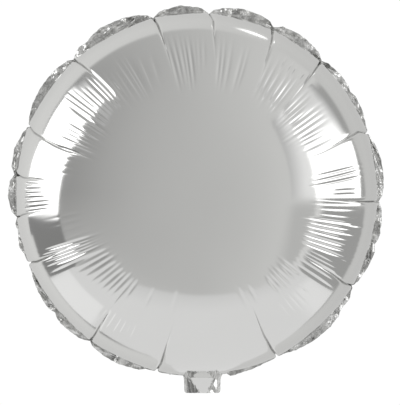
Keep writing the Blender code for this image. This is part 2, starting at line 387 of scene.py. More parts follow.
# %% [markdown]
# ## The wrinkles
#
# Between the folds the film carries fine radial wrinkles, a few millimetres apart and only a few
# tenths deep. They start where the rim's shortening begins and die out before the rim, which
# bulges tight. A mirror shows even so small a wave clearly. They are listed in groups: the shares
# of the radius where they start, are deepest and end, their depth, how far they lean, how wide
# they are on their lower and their upper side in millimetres, and the angle of each.

# %% The wrinkles of the front sheet
WRINKLES = (
    (0.53, 0.70, 0.86, 0.42, 0.7, 1.1, 1.1, (30.6, 32.9, 35.0, 40.0, 42.0)),
    (0.54, 0.70, 0.86, 0.42, 1.1, 1.1, 1.1, (21.6, 28.3)),
    (0.56, 0.66, 0.80, 0.30, 0.6, 0.8, 0.8, (24.4, 26.4, 36.4, 38.2)),
    (0.55, 0.70, 0.90, 0.50, 1.0, 1.2, 1.1, (47.5, 49.4, 51.5, 54.5, 57.2, 60.0)),
    (0.76, 0.84, 0.91, 0.25, 0.8, 0.7, 0.7, (46.6, 50.4, 52.4, 55.3, 61.6)),
    (0.53, 0.68, 0.89, 0.50, 1.0, 1.2, 1.1, (69.3, 71.2, 76.0, 78.6, 80.4)),
    (0.52, 0.70, 0.90, 0.60, 1.0, 1.1, 1.1, (92.3, 94.2, 95.9, 98.1, 100.5)),
    (0.60, 0.75, 0.88, 0.20, 0.8, 1.0, 1.0, (86.8, 88.6, 90.4)),
    (0.54, 0.70, 0.88, 0.42, 0.7, 2.4, 0.8, (117.3, 119.0, 121.0)),
    (0.56, 0.70, 0.84, 0.28, 0.0, 2.4, 0.8, (108.5, 113.0, 123.5, 125.6, 127.8)),
    (0.58, 0.72, 0.90, 0.50, 0.2, 0.8, 0.8, (130.9, 132.5, 134.1)),
    (0.60, 0.76, 0.88, 0.20, 0.0, 0.8, 0.8, (136.5, 138.3, 140.2)),
    (0.58, 0.76, 0.93, 0.60, 0.1, 0.9, 0.8, (142.0, 144.0)),
    (0.52, 0.73, 0.87, 0.95, -0.5, 1.2, 1.2, (146.2, 151.4, 153.4, 155.2, 157.0, 162.0)),
    (0.52, 0.66, 0.80, 0.35, -0.5, 0.9, 0.9, (148.4, 149.8, 158.6)),
    (0.60, 0.68, 0.80, 0.16, 0.2, 1.0, 1.0, (164, 166, 169, 172)),
    (0.76, 0.91, 0.955, 0.55, 0.2, 0.8, 0.8, (175.6, 177.2, 178.8, 180.4, 182, 183.6, 185.2, 186.6)),
    (0.58, 0.70, 0.88, 0.06, 0.2, 1.0, 1.0, (190.5, 193.2, 196.4, 200.4)),
    (0.54, 0.77, 0.96, 0.80, -1.1, 0.9, 0.9, (202.2, 203.6, 204.9, 206.3, 207.9)),
    (0.60, 0.76, 0.92, 0.40, -0.9, 0.9, 0.9, (210.3,)),
    (0.54, 0.62, 0.79, 0.80, -1.1, 1.3, 1.3, (211.6, 214.0, 216.7, 220.0, 222.4, 224.9, 227.7, 230.1)),
    (0.56, 0.66, 0.86, 0.75, -0.9, 1.1, 1.1, (232.9,)),
    (0.54, 0.62, 0.74, 0.45, -0.3, 1.1, 1.1, (236.2, 246.0, 258.4)),
    (0.72, 0.84, 0.91, 0.30, 0.0, 0.6, 0.6, (236.2, 239, 241.3, 243.3, 245.3, 247.3, 249.2, 251.3)),
    (0.54, 0.62, 0.72, 0.35, 0.0, 1.1, 1.1, (293.4, 298.6)),
    (0.55, 0.64, 0.73, 0.45, 0.0, 1.1, 1.1, (309.4, 311.6, 313.7, 315.8, 318.8, 321.5)),
    (0.70, 0.78, 0.88, 0.12, 0.0, 0.7, 0.7, (307, 310, 312.2, 314.5, 318)),
    (0.60, 0.76, 0.91, 0.40, 0.3, 0.9, 0.9, (324.2, 326.6, 329.2, 330.7, 332.2)),
    (0.55, 0.77, 0.96, 0.80, 0.9, 1.05, 1.05, (335.2, 337.4, 339.4, 341.7, 343.6, 345.7, 347.8)),
    (0.80, 0.88, 0.94, 0.35, 0.9, 0.7, 0.7, (333.8, 336.4, 338.5, 340.5, 342.7, 344.7, 346.8)),
    (0.60, 0.76, 0.92, 0.20, 0.8, 0.9, 0.9, (350.4, 353.0, 355.2)),
    (0.72, 0.80, 0.90, 0.45, 0.6, 0.8, 0.8, (358.6, 0.2)),
    (0.56, 0.80, 0.95, 0.55, 1.1, 0.8, 0.8, (8.0,)),
    (0.56, 0.80, 0.95, 0.80, 1.5, 0.8, 0.8, (4.0, 6.0)),
)
MIDDLE_SHARE = 0.75  # where a wrinkle's listed angle is read


def wrinkle_rows(groups, turned, draw):
    """One row for each wrinkle, with small chance differences: its angle and lean come first."""
    rows = []
    for start, deepest, end, depth, lean, low_width, high_width, angles in groups:
        for angle in angles:
            wider = draw.uniform(0.85, 1.2) * MM
            rows.append(
                (
                    angle + turned + draw.normal(0, 0.1),
                    lean + draw.normal(0, 0.08),
                    start + draw.uniform(-0.02, 0.03),
                    deepest,
                    end + draw.uniform(-0.03, 0.01),
                    depth * MM * draw.uniform(0.75, 1.25),
                    low_width * wider,
                    high_width * wider,
                )
            )
    return rows


def wrinkle_valleys(rows, share, angle, radius):
    """How far the wrinkles press the film in at each point of the grid."""
    pressed = np.zeros(np.broadcast(share, angle).shape)
    for place, lean, start, deepest, end, depth, low_width, high_width in rows:
        turn = nearest_turn(angle, place + lean * (share - MIDDLE_SHARE) / 0.15)
        near = np.any((np.abs(turn) < 4) & (share > start) & (share < end), axis=0)
        aside = np.radians(turn[:, near]) * radius[:, near]
        fade = smooth_step((share - start) / (deepest - start)) * smooth_step((end - share) / (end - deepest))
        width = np.where(aside < 0, low_width, high_width)
        pressed[:, near] += depth * fade * np.exp(-((aside / width) ** 2) / 2)
    return pressed


print(sum(len(group[-1]) for group in WRINKLES), "wrinkles on the front")

# %% [markdown]
# ## The grid of one sheet
#
# Each sheet is a grid of rings and spokes. Evenly spaced spokes would waste most of their points
# on smooth film, so the spokes are drawn closer together where folds and wrinkles are: a density
# is added up round the rim, and equal steps of that sum give the angles. The spokes also lean as
# the wrinkles beside them do, so a crease runs along the mesh and its edge stays clean. Towards
# the crown three spokes in four are dropped, twice, because the film is plain there.

# %% Spokes and rings
SPOKES = 2160
OUTER_RINGS = 40
INNER_SHARE = 0.5
RINGS_INSIDE = 6
NECK_SPAN = (263.5, 280.0)  # degrees round the rim that the neck takes up


def spoke_angles(wrinkles, stops):
    """Angles of the spokes at the rim, closest at folds, wrinkles and neck, with one on each stop."""
    fine = np.linspace(0, 360, 36001)
    density = np.full(fine.shape, 1.0)
    density[(fine > NECK_SPAN[0]) & (fine < NECK_SPAN[1])] = 4.5
    for place in FOLD_ANGLES:
        density += 9.0 * np.exp(-np.abs(nearest_turn(fine, place)) / 0.7)
    for row in wrinkles:
        at_rim = row[0] + row[1] * (1 - MIDDLE_SHARE) / 0.15
        density += 1.4 * np.exp(-((nearest_turn(fine, at_rim) / 0.8) ** 2))
    summed = np.concatenate(([0], np.cumsum((density[1:] + density[:-1]) / 2)))
    angles = np.interp(np.arange(SPOKES) / SPOKES * summed[-1], summed, fine)
    for stop in stops:
        angles[np.argmin(np.abs(nearest_turn(angles, stop)))] = stop
    return angles


def spoke_lean(wrinkles, angles):
    """How far the spokes lean: that of the nearest wrinkle or fold, smoothed round the rim."""
    places = [row[0] + row[1] for row in wrinkles] + [fold[0] for fold in FOLDS]
    leans = [row[1] for row in wrinkles] + [(fold[3][0] - fold[3][2]) * 0.6 for fold in FOLDS]
    around = np.arange(0, 360, 0.5)
    nearest = np.argmin(np.abs(nearest_turn(around[:, None], np.array(places)[None, :])), axis=1)
    held = np.array(leans)[nearest]
    held[(around > NECK_SPAN[0] - 8) & (around < NECK_SPAN[1] + 8)] = 0
    near = np.exp(-((nearest_turn(angles[:, None], around[None, :]) / 3.5) ** 2) / 2)
    leaning = (near * held).sum(axis=1) / near.sum(axis=1)
    return leaning * smooth_step((np.abs(nearest_turn(angles, sum(NECK_SPAN) / 2)) - 8.5) / 6)


def ring_shares():
    """Share of the radius at each ring, from just off the crown to the rim, evenly along the film."""
    inner_arc = np.interp(INNER_SHARE, SHARES, ARCS)
    inner = np.linspace(0, inner_arc, 2 * RINGS_INSIDE + 1)[1:]
    outer = np.linspace(inner_arc, ARCS[-1], OUTER_RINGS + 1)[1:]
    return np.interp(np.concatenate((inner, outer)), ARCS, SLOPES)


RING_SLOPES = ring_shares()
RING_SHARES = np.sqrt(np.sin(RING_SLOPES))
print(len(RING_SLOPES), "rings,", SPOKES, "spokes")

# %% [markdown]
# ## Crumpled film
#
# Foil keeps every crease that it gets, and its creases are straight. A crumple is made of a few
# sets of ridges, each set at its own slant. Along a set the ridges come at uneven steps, and the
# film is flat between them. Where the sets cross they cut the film into small flat facets.

# %% Creases and crumples
def crease_line(length, step, height, draw, alternate=True):
    """Straight-sided creases along a length: returns the height at any place on it."""
    places = [0.0]
    while places[-1] < length:
        places.append(places[-1] + step * draw.uniform(0.55, 1.5))
    count = len(places)
    signs = np.where(np.arange(count) % 2, 1, -1) if alternate else draw.choice((-1, 1), count)
    heights = signs * height * draw.uniform(0, 1, count) ** 1.5
    return lambda at: np.interp(at, places, heights)


def crumple(length, sets, draw):
    """A crumple on a strip: each set has its slants along and across, its step and its height."""
    lines = []
    for along_slant, across_slant, step, height in sets:
        reach = length * abs(along_slant) + 60 * MM
        lines.append((along_slant, across_slant, crease_line(reach, step * MM, height * MM, draw)))

    def height_at(along, across):
        total = 0
        for along_slant, across_slant, line in lines:
            total = total + line(30 * MM + abs(along_slant) * along + across_slant * across)
        return total

    return height_at


print("crumples ready")

# %% [markdown]
# ## The neck
#
# Below the rim each sheet goes on as a flat tab, and the two tabs make the filling neck. The gas
# keeps a channel open down its middle, and the dome runs straight on into it: a tongue as wide
# as the neck where it leaves the dome, and a third of that at the mouth. Beside the tongue the
# film falls to the welds in two flanks, crumpled from being gripped on the filling nozzle. The
# spokes that meet the neck run on past the rim as extra rings, so all of it is one film. The
# tongue is built as two slopes, a steep one that carries the dome on and a flatter one to the
# mouth, and the points are relaxed along each spoke to round the corner between them.

# %% The neck's channel
TAB_LIFT = 0.35 * MM
NECK_TOP_HALF = 14.4 * MM
TONGUE_LEFT = (15.0 * MM, 1.6 * MM)  # its left edge from the neck's middle, at the rim and the mouth
TONGUE_RIGHT = (12.6 * MM, 4.0 * MM)
TONGUE_WALL = 1.8 * MM
CORNER_Z = -177.8 * MM
MOUTH_RISE = 3.4 * MM
LEAVES_AT = math.radians(71)  # the dome's slope where the tongue's steep part leaves it
LEAVES_Z = -RIM * (math.sqrt(math.sin(LEAVES_AT)) + LONGER_BELOW * math.sin(LEAVES_AT))
LEAVES_HEIGHT = RIM * (np.interp(LEAVES_AT, SLOPES, HEIGHTS) + LONGER_BELOW * math.cos(LEAVES_AT))
STEEP = math.tan(LEAVES_AT)
CORNER_RISE = LEAVES_HEIGHT + (CORNER_Z - LEAVES_Z) * STEEP
LEFT_RIDGES = (1.0, -0.15, 3.4, 0.75)  # slants across and up, step in millimetres, slope of the long faces
RIGHT_RIDGES = (0.9, 0.42, 6.0, 0.62)
NECK_RINGS = 34
FOOT_RINGS = 14
RELAX_ROUNDS = 16
NECK_CREASES = ((1.0, 0.9, 3.2, 0.2), (-1.0, 0.7, 2.6, 0.15))


def beside_tongue(x, z):
    """How far each place is outside the tongue's edge, and the tongue's half width there."""
    down = np.clip((-RIM - z) / (-RIM - MOUTH_Z), 0, 1)
    left = TONGUE_LEFT[0] + (TONGUE_LEFT[1] - TONGUE_LEFT[0]) * down
    right = TONGUE_RIGHT[0] + (TONGUE_RIGHT[1] - TONGUE_RIGHT[0]) * down
    half = np.where(x < NECK_X, left, right)
    return np.abs(x - NECK_X) - half, half


def channel_height(x, z):
    """Height of the tongue over the tab at this place, down to nothing at its sides."""
    flat_rise = MOUTH_RISE + (z - MOUTH_Z) / (CORNER_Z - MOUTH_Z) * (CORNER_RISE - MOUTH_RISE)
    rise = np.maximum(flat_rise, CORNER_RISE + (z - CORNER_Z) * STEEP) * (z < LEAVES_Z)
    away, half = beside_tongue(x, z)
    crown = 1 - 0.1 * np.clip(1 + away / half, 0, 1) ** 2
    return rise * crown * (1 - smooth_step(away / TONGUE_WALL))


def ridge_height(x, z, ridges, hand):
    """Saw-tooth ridges, whose long faces fall away from the neck's middle."""
    across_slant, up_slant, step, slope = ridges
    along = hand * (across_slant * (x - NECK_X)) + up_slant * (z + RIM)
    saw = 1 - np.mod(along / (step * MM) + 0.35, 1)
    return slope * step * MM * np.minimum(saw, (1 - saw) * 4 + 0.02)


def flank_height(x, z, draw):
    """Ridges beside the tongue: their long faces look level on the left and up on the right."""
    on_left = ridge_height(x, z, LEFT_RIDGES, -1)
    on_right = ridge_height(x, z, RIGHT_RIDGES, 1)
    ridges = np.where(x < NECK_X, on_left, on_right)
    crush = crumple(30 * MM, NECK_CREASES, draw)(x - NECK_X, -RIM - z)
    away, _ = beside_tongue(x, z)
    beside = smooth_step(away / (0.8 * MM)) * smooth_step((TAB_HALF_WIDTH - np.abs(x - NECK_X)) / (1.5 * MM))
    return np.maximum(ridges + crush, 0) * beside * smooth_step((-RIM - z) / (2 * MM))


def neck_stops():
    """Angles of the rim where the tab's two edges leave it."""
    edges = (NECK_X - NECK_TOP_HALF, NECK_X + NECK_TOP_HALF)
    return [360 - math.degrees(math.acos(x / rim_radius(270))) for x in edges]


print("the tab leaves the rim at", [round(angle, 2) for angle in neck_stops()], "degrees")

# %% [markdown]
# ## Building a sheet
#
# With the profile, the folds, the wrinkles and the neck at hand, a sheet is built in one go with
# arrays: the dome, then everything that presses it in along its own normal, then the tab.

# %% Points of a sheet
def sheet_grid(side, wrinkles, angles):
    """Arrays of rings by spokes: x, y and z of the sheet's points, their painted shade and their painted
    light.
    """
    slope = RING_SLOPES[:, None]
    share = RING_SHARES[:, None]
    lean = spoke_lean(wrinkles, angles)
    angle = angles[None, :] + lean[None, :] * (np.maximum(share, INNER_SHARE) - 1) / 0.15
    ease = smooth_step((share - 0.6) / 0.4)
    longer = (rim_radius(angle) - RIM) * ease
    radius = share * RIM + longer * np.sin(slope)
    height = np.interp(slope, SLOPES, HEIGHTS) * RIM + longer * np.cos(slope)
    pressed = fold_valleys(share, angle, radius) + wrinkle_valleys(wrinkles, share, angle, radius)
    radius = radius - pressed * np.sin(slope)
    height = height - pressed * np.cos(slope)
    turn = np.radians(angle)
    shade = fold_shade(share, angle, radius)
    lifted = np.zeros(shade.shape)
    return radius * np.cos(turn), side * (height + TAB_LIFT), radius * np.sin(turn), shade, lifted


def neck_columns(angles):
    """Numbers of the spokes that run on into the tab."""
    first, last = neck_stops()
    return np.nonzero((angles >= first - 1e-6) & (angles <= last + 1e-6))[0]


def add_neck(side, grid, columns):
    """Raises the dome's foot onto the tongue, and returns the tab's rings below it."""
    x, y, z = (part[:, columns] for part in grid[:3])
    dome = side * y - TAB_LIFT
    foot = slice(len(RING_SLOPES) - FOOT_RINGS, len(RING_SLOPES))
    down = (np.arange(1, NECK_RINGS + 1) / NECK_RINGS)[:, None]
    squeeze = 1 + (TAB_HALF_WIDTH / NECK_TOP_HALF - 1) * smooth_step(down * 3)
    tab_x = NECK_X + (x[-1:] - NECK_X) * squeeze
    tab_z = z[-1:] + (MOUTH_Z - z[-1:]) * down
    all_x = np.concatenate((x[foot], tab_x))
    all_z = np.concatenate((z[foot], tab_z))
    height = np.concatenate((dome[foot], np.zeros(tab_x.shape)))
    height = np.maximum(height, channel_height(all_x, all_z))
    line = np.stack((all_x, height, all_z))
    off_middle = np.abs(x[-1] - NECK_X) / NECK_TOP_HALF
    loose = np.clip((1 - off_middle**8)[None, :] * np.arange(line.shape[1])[:, None] / 8, 0, 1)[1:-1]
    for _ in range(RELAX_ROUNDS):
        line[:, 1:-1] += 0.5 * loose * ((line[:, 2:] + line[:, :-2]) / 2 - line[:, 1:-1])
    line[1] += flank_height(line[0], line[2], np.random.default_rng(17 + side))
    away, _ = beside_tongue(line[0], line[2])
    # Painted light: the tongue's steep part under the dome's foot is lightened.
    steep_part = smooth_step((LEAVES_Z - line[2]) / (3 * MM)) * smooth_step((line[2] - CORNER_Z) / (1.5 * MM))
    lifted = steep_part * (1 - smooth_step(away / (4 * MM)))
    # Painted shade: the whole left flank of the tab is darkened by half.
    shade = 0.5 * smooth_step(away / MM) * (line[0] < NECK_X) * (line[2] < -RIM)
    whole = (line[0], side * (line[1] + TAB_LIFT), line[2], shade, lifted)
    for part, moved in zip(grid, whole):
        part[foot, columns] = moved[:FOOT_RINGS]
    return [part[FOOT_RINGS:] for part in whole]


# %% Faces of a sheet
def ring_faces(first, second, side):
    """Quads between two rings with as many points."""
    following = np.roll(first, -1), np.roll(second, -1)
    quads = np.stack((first, second, following[1], following[0]), axis=1)
    return quads[:, ::-1].tolist() if side == FRONT else quads.tolist()


def stitch_faces(coarse, fine, side):
    """Triangles between a ring and the next one out, which has four times as many points."""
    faces = []
    for i in range(len(coarse)):
        here, there = coarse[i], coarse[(i + 1) % len(coarse)]
        edge = [fine[(4 * i + k) % len(fine)] for k in range(5)]
        faces += [(here, edge[0], edge[1]), (here, edge[1], edge[2]), (here, edge[2], there)]
        faces += [(there, edge[2], edge[3]), (there, edge[3], edge[4])]
    return [face[::-1] for face in faces] if side == FRONT else faces


def mesh_object(name, points, faces, material):
    """A smooth-shaded mesh object in the scene."""
    mesh = bpy.data.meshes.new(name)
    mesh.from_pydata(points, [], faces)
    mesh.materials.append(material)
    mesh.shade_smooth()
    made = bpy.data.objects.new(name, mesh)
    bpy.context.scene.collection.objects.link(made)
    return made


# %% One whole sheet
def foil_sheet(name, side, wrinkles):
    """One foil sheet with its folds, wrinkles and tab."""
    angles = spoke_angles(wrinkles, neck_stops())
    grid = sheet_grid(side, wrinkles, angles)
    columns = neck_columns(angles)
    tab = add_neck(side, grid, columns)
    points = [(0, side * (HEIGHTS[0] * RIM + TAB_LIFT), 0)]
    numbers = [(0.0, 0.0)]
    faces = []
    inner = None
    for ring in range(len(RING_SLOPES)):
        step = 16 if ring < RINGS_INSIDE else 4 if ring < 2 * RINGS_INSIDE else 1
        used = np.arange(0, SPOKES, step)
        outer = np.arange(len(points), len(points) + len(used))
        points += np.stack([part[ring, used] for part in grid[:3]], axis=1).tolist()
        numbers += np.stack([part[ring, used] for part in grid[3:]], axis=1).tolist()
        if inner is None:
            fan = [(0, outer[i], outer[(i + 1) % len(outer)]) for i in range(len(outer))]
            faces += [face[::-1] for face in fan] if side == FRONT else fan
        elif len(inner) == len(outer):
            faces += ring_faces(inner, outer, side)
        else:
            faces += stitch_faces(inner, outer, side)
        inner = outer
    above = inner[columns]
    for ring in range(NECK_RINGS):
        below = np.arange(len(points), len(points) + len(columns))
        points += np.stack([part[ring] for part in tab[:3]], axis=1).tolist()
        numbers += np.stack([part[ring] for part in tab[3:]], axis=1).tolist()
        quads = np.stack((above[:-1], below[:-1], below[1:], above[1:]), axis=1)
        faces += quads[:, ::-1].tolist() if side == FRONT else quads.tolist()
        above = below
    made = mesh_object(name, points, faces, FOIL)
    for attribute, values in zip(("in_fold", "lifted"), zip(*numbers)):
        made.data.attributes.new(attribute, "FLOAT", "POINT").data.foreach_set("value", values)
    return made


front_wrinkles = wrinkle_rows(WRINKLES, 0, np.random.default_rng(11))
front_sheet = foil_sheet("front_sheet", FRONT, front_wrinkles)
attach(front_sheet, "root")
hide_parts("front_panel", "neck_front")
print("front sheet:", len(front_sheet.data.polygons), "faces")

# %% [markdown]
# ## The back sheet
#
# The photograph shows only the front, so the back is built from its kind: the same folds, because
# a fold nips both sheets at once, but wrinkles of its own.

# %% The back sheet
back_wrinkles = wrinkle_rows(WRINKLES, 0.8, np.random.default_rng(29))
back_sheet = foil_sheet("back_sheet", BACK, back_wrinkles)
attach(back_sheet, "root")
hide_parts("back_panel", "neck_back")
print("back sheet:", len(back_sheet.data.polygons), "faces")

# %% [markdown]
# ## The rim weld
#
# The welded band stands out past the chamber. It was cut as a longer circle than the rim that it
# now follows, so it crumples. Its outline is read from the solid. Most of its ridges run at a
# slant along the band, and a few cross it, which gives long thin facets.

# %% Crinkled strips
FILM_PAIR = 0.25 * MM  # two sheets of film welded together, a little thickened to hold a shadow


def strip_object(name, inner, outer, lean, crush, rows, material):
    """A crumpled strip between two lines of (x, z) points, its edges lying along the columns."""
    along = np.concatenate(([0], np.cumsum(np.hypot(*np.diff(outer, axis=0).T))))
    width = np.hypot(*(outer - inner).T)
    across = np.linspace(0, 1, rows + 1)[:, None]
    plan = inner[None] + (outer - inner)[None] * across[:, :, None]
    depth = lean[None] * across + crush(along[None], across * width[None]) * smooth_step(across * 1.8)
    points = np.stack((plan[:, :, 0], depth, plan[:, :, 1]), axis=2).reshape(-1, 3)
    count = len(inner)
    faces = []
    for row in range(rows):
        start = row * count + np.arange(count - 1)
        faces += np.stack((start, start + 1, start + count + 1, start + count), axis=1).tolist()
    made = mesh_object(name, points.tolist(), faces, material)
    wall = made.modifiers.new("film pair", "SOLIDIFY")
    wall.thickness = FILM_PAIR
    wall.offset = 0
    return made


# %% The weld's outline, read from the solid
def weld_outline():
    """Angle and radius of the band's outer edge, from the solid's own points."""
    furthest = {}
    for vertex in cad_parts["rim_seam"].data.vertices:
        x, _, z = vertex.co
        angle = round(math.degrees(math.atan2(z, x)) % 360, 1)
        furthest[angle] = max(furthest.get(angle, 0), math.hypot(x, z))
    angles = sorted(furthest)
    return np.array(angles), np.array([furthest[angle] for angle in angles])


def rim_nip(angles):
    """How far the folds nip in the rim at these angles."""
    radius = rim_radius(angles)
    return fold_valleys(np.ones((1, 1)), angles[None, :], radius[None, :])[0]


outline_angles, outline_radii = weld_outline()
print(len(outline_angles), "points on the weld's outline")

# %% The rim weld
BAND_COLUMNS = 2600
BAND_ROWS = 12
BAND_CREASES = ((0.28, 1.0, 4.4, 2.2), (-0.22, 1.0, 5.2, 1.6), (1.0, 0.5, 7.0, 2.4), (1.0, -1.2, 4.0, 0.5))
weld_draw = np.random.default_rng(5)


def rim_weld():
    half_gap = math.degrees((NECK_HALF_WIDTH + 0.3 * MM) / RIM)
    neck_angle = 270 + math.degrees(math.asin(NECK_X / RIM))
    angles = np.linspace(neck_angle + half_gap, neck_angle + 360 - half_gap, BAND_COLUMNS)
    edge = np.interp(angles % 360, outline_angles, outline_radii, period=360)
    length = RIM * 2 * math.pi
    nicks = crease_line(length, 3.5 * MM, 0.45 * MM, weld_draw)
    edge = edge + nicks(np.radians(angles - angles[0]) * RIM) - 0.3 * MM
    rim = rim_radius(angles) - rim_nip(angles % 360) - 0.4 * MM
    edge = np.maximum(edge, rim + 1.4 * MM)
    direction = np.stack((np.cos(np.radians(angles)), np.sin(np.radians(angles))), axis=1)
    lean = crease_line(length, 34 * MM, 1.6 * MM, weld_draw)(np.radians(angles - angles[0]) * RIM)
    crush = crumple(length * 1.1, BAND_CREASES, weld_draw)
    inner, outer = direction * rim[:, None], direction * edge[:, None]
    return strip_object("rim_weld", inner, outer, lean, crush, BAND_ROWS, WELDED_FOIL)


weld_band = rim_weld()
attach(weld_band, "root")
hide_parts("rim_seam")
print("rim weld:", len(weld_band.data.polygons), "faces on each side")

# %% [markdown]
# ## The neck's side welds
#
# Down each side of the neck the same weld goes on as a narrow crinkled tab. At its top it
# flares out to meet the rim weld, and its lower corner is rounded.

# %% The neck's side welds
SIDE_COLUMNS = 90
SIDE_CREASES = ((0.8, 1.0, 3.4, 0.3), (-0.6, 1.0, 3.0, 0.25), (1.0, 0.2, 5.0, 0.3))
CORNER = 2.5 * MM
FLARE = 2.6 * MM


def side_weld(name, hand, node):
    top_z = -RIM * 1.004
    z = np.linspace(top_z, MOUTH_Z, SIDE_COLUMNS)
    inner_x = NECK_X + hand * (TAB_HALF_WIDTH - 0.8 * MM)
    flare = FLARE * np.exp(-(top_z - z) / (2.4 * MM))
    over_corner = np.clip((MOUTH_Z + CORNER - z) / CORNER, 0, 1)
    rounding = CORNER * (1 - np.sqrt(1 - over_corner**2))
    draw = np.random.default_rng(41 + hand)
    wave = crease_line(22 * MM, 2.4 * MM, 0.28 * MM, draw)
    outer_x = NECK_X + hand * (NECK_HALF_WIDTH + flare - rounding + wave(top_z - z) - 0.2 * MM)
    inner = np.stack((np.full(SIDE_COLUMNS, inner_x), z), axis=1)
    outer = np.stack((outer_x, z), axis=1)
    crush = crumple(26 * MM, SIDE_CREASES, draw)
    made = strip_object(name, inner, outer, np.zeros(SIDE_COLUMNS), crush, 16, NECK_WELDED_FOIL)
    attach(made, "root")
    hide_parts(node)
    return made


left_weld = side_weld("neck_weld_left", -1, "neck_seam_left")
right_weld = side_weld("neck_weld_right", 1, "neck_seam_right")
print("side welds:", left_weld.name, right_weld.name)

# %% [markdown]
# ## The valve's film
#
# Two films lie between the tabs and press each other flat, which is what keeps the gas in. Only
# their ends show, at the mouth. They are two gently waved sheets a hair apart.

# %% The valve film
FILM_COLUMNS = 40
FILM_ROWS = 30


def valve_film():
    low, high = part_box("valve_film")
    points = []
    faces = []
    for side in (FRONT, BACK):
        start = len(points)
        for row in range(FILM_ROWS + 1):
            z = low.z + (high.z - low.z) * row / FILM_ROWS
            for column in range(FILM_COLUMNS + 1):
                x = low.x + (high.x - low.x) * column / FILM_COLUMNS
                wave = 0.12 * MM * math.sin(column * 0.45 + row * 0.12)
                points.append((x, side * 0.05 * MM + wave, z))
        width = FILM_COLUMNS + 1
        for row in range(FILM_ROWS):
            for column in range(FILM_COLUMNS):
                corner = start + row * width + column
                faces.append((corner, corner + 1, corner + 1 + width, corner + width)[::-side])
    return mesh_object("valve_films", points, faces, CLEAR_FILM)


film = valve_film()
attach(film, "root")
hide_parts("valve_film")
print("valve film:", len(film.data.polygons), "faces")


# %% [markdown]
# ## The studio
#
# A mirror shows its room, so the room is what gives foil its look. The balloon hangs over a pale
# table in front of a pale wall, between two tall softboxes. Table and softboxes are glowing panels
# that the camera doesn't see, so they never stand in front of the balloon. Their corners were
# worked out by following the edges of their reflections back from the photograph. The dim rest of
# the room is the world's colour. The floor is the other way round: it lies lower than any camera
# stands, and only the camera sees it. Away from the middle it turns as white as the wall.

# %% Glowing panels
def panel(name, corners, strength, for_camera=False):
    """A flat glowing panel that only the foil sees, or else only the camera."""
    mesh = bpy.data.meshes.new(name)
    mesh.from_pydata(corners, [], [range(len(corners))])
    glow = bpy.data.materials.new(name)
    tree = Tree(glow)
    value = strength(tree) if callable(strength) else strength
    shader = tree.node("ShaderNodeEmission", {}, {"Color": (1, 1, 1, 1), "Strength": value})
    tree.node("ShaderNodeOutputMaterial", {}, {"Surface": shader})
    mesh.materials.append(glow)
    made = bpy.data.objects.new(name, mesh)
    made.visible_camera = for_camera
    made.visible_glossy = not for_camera
    made.visible_diffuse = not for_camera
    bpy.context.scene.collection.objects.link(made)
    return made


SIDE_X = 1.2
TABLE_Z = -1.0
FLOOR_Z = -6.0
FLOOR_REACH = 60.0
FLOOR_FADE = 9.0
WALL_WHITE = 1.02


def place_on(tree):
    """The x, y and z of a place on a panel."""
    place = tree.node("ShaderNodeTexCoord", output=3)
    return [tree.node("ShaderNodeSeparateXYZ", {}, {0: place}, output=axis) for axis in range(3)]


def left_glow(tree):
    """Full in the middle, with a soft lower edge and a top that dims towards the rear."""
    _, y, z = place_on(tree)
    lower_edge = ((z + 0.27 - 0.1 * (y + 0.4)) * 8).clamped()
    top = ((z - 0.95) * 8).clamped()
    full = 2.0 * lower_edge * (1 - top) + (0.95 - 1.1 * (y + 0.2)) * top
    return full.math("MAXIMUM", full, 0.27)


def right_glow(tree):
    """Full below, weaker towards the top, the rear and the front, with a thin seam of two panels."""
    _, y, z = place_on(tree)
    seam = ((y + 0.355) * 60).clamped() * ((-0.325 - y) * 60).clamped() * ((0.42 - z) * 20).clamped()
    upper = ((z - 0.45) * 20).clamped()
    rear = ((y + 0.12) * 3.4).clamped() * upper
    front = ((-0.6 - y) * 3).clamped() * ((z - 0.5) * 6).clamped()
    level = 1.8 - 0.75 * ((z - 0.5) * 5.5).clamped() - 0.22 * ((z - 0.68) * 3.5).clamped() - 0.22 * front
    return level * (1 - 0.38 * seam) * (1 - rear) + 0.42 * rear


def weak_glow(tree):
    """The softbox's outer cloth, which dims away from the lamp."""
    _, y, _ = place_on(tree)
    return 0.96 - 0.55 * ((-1.3 - y) * 1.0).clamped()


def top_glow(tree):
    """Brightest in its middle, and no brighter than the room at its ends."""
    x, _, _ = place_on(tree)
    off_middle = (x - 0.43) / 0.16
    return 0.72 + 1.5 * (1 - off_middle * off_middle).clamped()


def table_glow(tree):
    """Even, but brighter where each softbox lights the table's side."""
    x, y, _ = place_on(tree)
    left = ((-0.78 - x) * 20).clamped() * ((y + 0.36) * 20).clamped()
    right = ((x - 0.85) * 5).clamped() * ((y + 0.7) * 5).clamped()
    front = ((-0.85 - y) * 2.2).clamped()
    return 0.83 + 0.14 * left + 0.10 * right - 0.10 * front


def floor_glow(tree):
    """Pale under the balloon, and as white as the wall further out."""
    x, y, _ = place_on(tree)
    outward = ((x * x + y * y) / (FLOOR_FADE * FLOOR_FADE)).clamped()
    return 0.86 + (WALL_WHITE - 0.86) * outward


